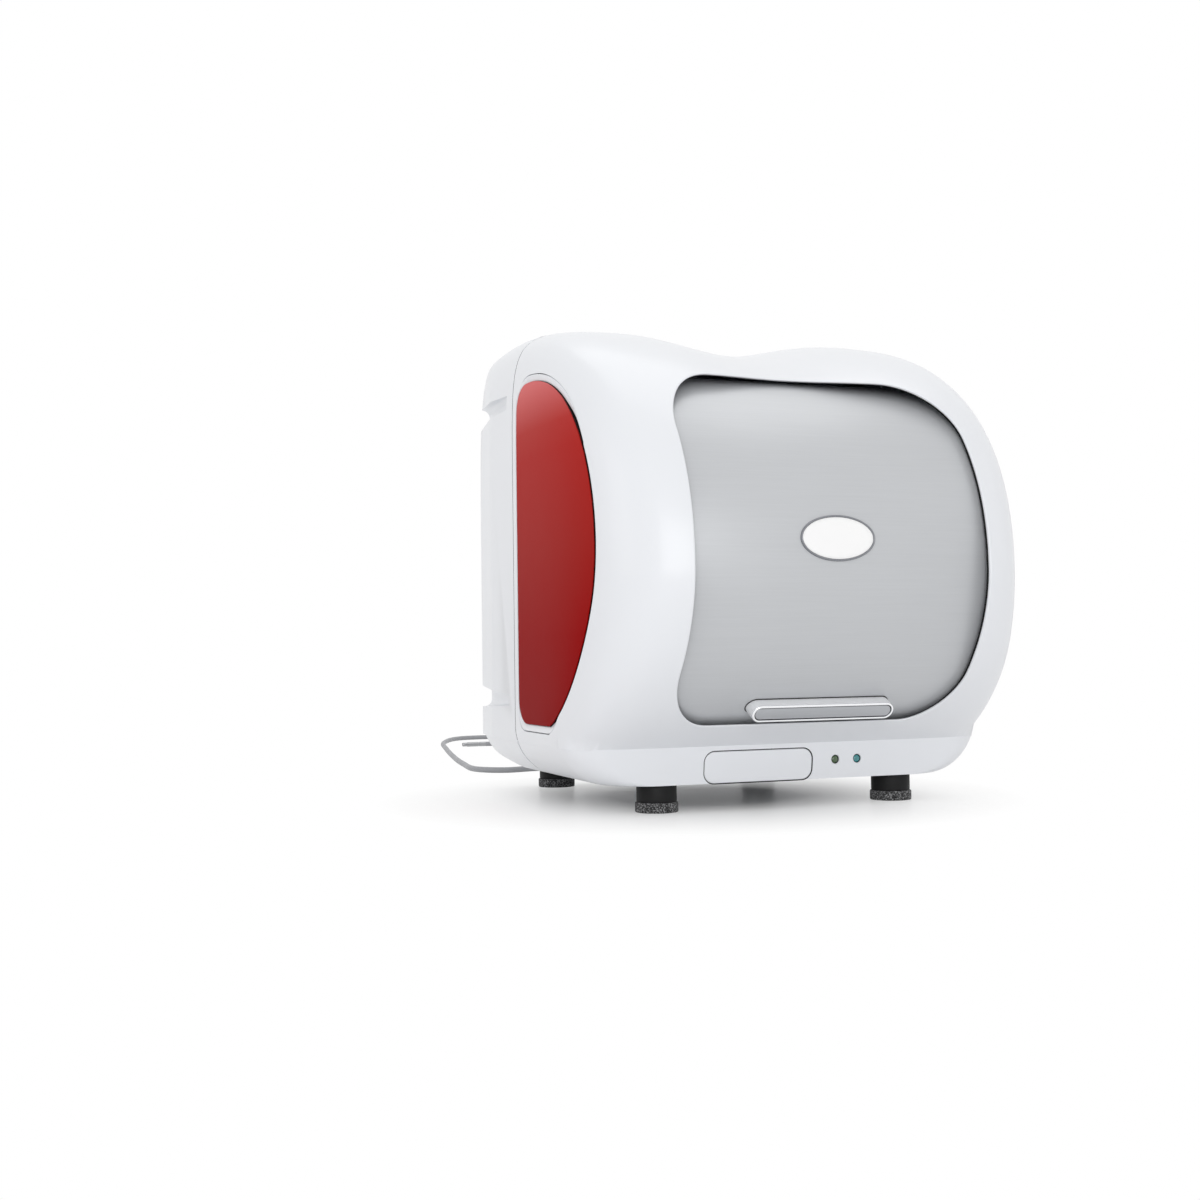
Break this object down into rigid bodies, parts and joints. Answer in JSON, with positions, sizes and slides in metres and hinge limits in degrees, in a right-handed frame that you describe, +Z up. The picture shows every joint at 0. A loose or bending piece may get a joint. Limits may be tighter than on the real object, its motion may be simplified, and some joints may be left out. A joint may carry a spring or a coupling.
{
  "type": "biolayer interferometry analyzer",
  "caption": "Benchtop analyzer with a pillow-shaped housing, drum door, side panels, moving fibre head, shaking plate stage, waste drawer and a rear cord.",
  "frame": {"origin": "on the table under the centre of the machine without its cord", "axes": "+X to the machine's right as seen from the front, +Y to the back, +Z up"},
  "size_m": [0.428, 1.3469, 0.4699],
  "materials": {
    "shell": "gloss pearl white",
    "red": "satin metallic red",
    "silver_door": "satin silver",
    "white_plastic": "matte white",
    "sheet": "satin",
    "steel": "satin",
    "chrome": "polished",
    "rubber": "matte",
    "felt": "speckled felt",
    "black_plastic": "matte black",
    "grey_plastic": "matte grey",
    "lens_green": "clear lens",
    "lens_teal": "clear lens",
    "board": "solder mask",
    "tip": "clear"
  },
  "bodies": {
    "chassis": {"front_shell": "shell", "rear_shell": "shell", "left_side_panel": "red", "right_side_panel": "red", "base_plate": "sheet", "rubber_feet": "rubber", "felt_pads": "felt", "foot_screws": "steel", "hinge_brackets": "steel", "hinge_pins": "steel", "left_lamp": "lens_green", "right_lamp": "lens_teal", "drawer_guides": "sheet", "deck_frame": "sheet", "deck_plate": "sheet", "chamber_liner": "white_plastic", "gantry_plates": "white_plastic", "guide_rods": "steel", "drive_motor": "black_plastic", "tray_nest": "grey_plastic", "stage_base": "sheet", "bulkhead": "sheet", "spectrometer": "black_plastic", "main_board": "board", "board_chips": "black_plastic", "power_supply": "sheet", "rear_panel": "sheet", "rear_panel_screws": "steel", "fan_frame": "black_plastic", "fan_guard": "steel", "power_inlet": "black_plastic", "switch_bezel": "black_plastic", "data_ports": "steel", "cord_plug": "grey_plastic", "cord": "grey_plastic", "cord_connector": "steel"},
    "door": {"door_panel": "silver_door", "door_arms": "silver_door", "door_handle": "chrome", "handle_face": "sheet", "badge_rim": "sheet", "badge_face": "white_plastic"},
    "waste_drawer": {"waste_drawer_front": "shell", "waste_drawer_tray": "grey_plastic"},
    "carriage": {"x_carriage": "grey_plastic", "z_rail": "steel", "z_motor": "black_plastic"},
    "head": {"head_slide": "sheet", "fibre_manifold": "black_plastic", "sensor_tips": "tip"},
    "stage": {"plate_stage": "grey_plastic", "stage_heater": "black_plastic"},
    "fan": {"fan_rotor": "black_plastic"},
    "rocker": {"power_rocker": "black_plastic"},
    "screw": {"lead_screw": "steel"}
  },
  "joints": [
    {"name": "door_hinge", "type": "hinge", "parent": "chassis", "child": "door", "pos_m": [0, -0.048, 0.228], "axis": [-1, 0, 0], "range_deg": [0, 84]},
    {"name": "drawer_slide", "type": "slide", "parent": "chassis", "child": "waste_drawer", "axis": [0, -1, 0], "range_m": [0, 0.09]},
    {"name": "carriage_slide", "type": "slide", "parent": "chassis", "child": "carriage", "axis": [1, 0, 0], "range_m": [-0.119, 0.119]},
    {"name": "head_slide_z", "type": "slide", "parent": "carriage", "child": "head", "axis": [0, 0, -1], "range_m": [0, 0.05]},
    {"name": "stage_shake", "type": "slide", "parent": "chassis", "child": "stage", "axis": [0, 1, 0], "range_m": [-0.0015, 0.0015]},
    {"name": "fan_spin", "type": "hinge", "parent": "chassis", "child": "fan", "pos_m": [-0.08, 0.205, 0.25], "axis": [0, 1, 0], "continuous": true},
    {"name": "rocker_tilt", "type": "hinge", "parent": "chassis", "child": "rocker", "pos_m": [0.106, 0.221, 0.07], "axis": [1, 0, 0], "range_deg": [-8, 8]},
    {"name": "screw_spin", "type": "hinge", "parent": "chassis", "child": "screw", "pos_m": [0, 0.07, 0.215], "axis": [1, 0, 0], "continuous": true}
  ],
  "couplings": [
    {"joint": "screw_spin", "follows": "carriage_slide", "rad_per_m": 314.16}
  ]
}
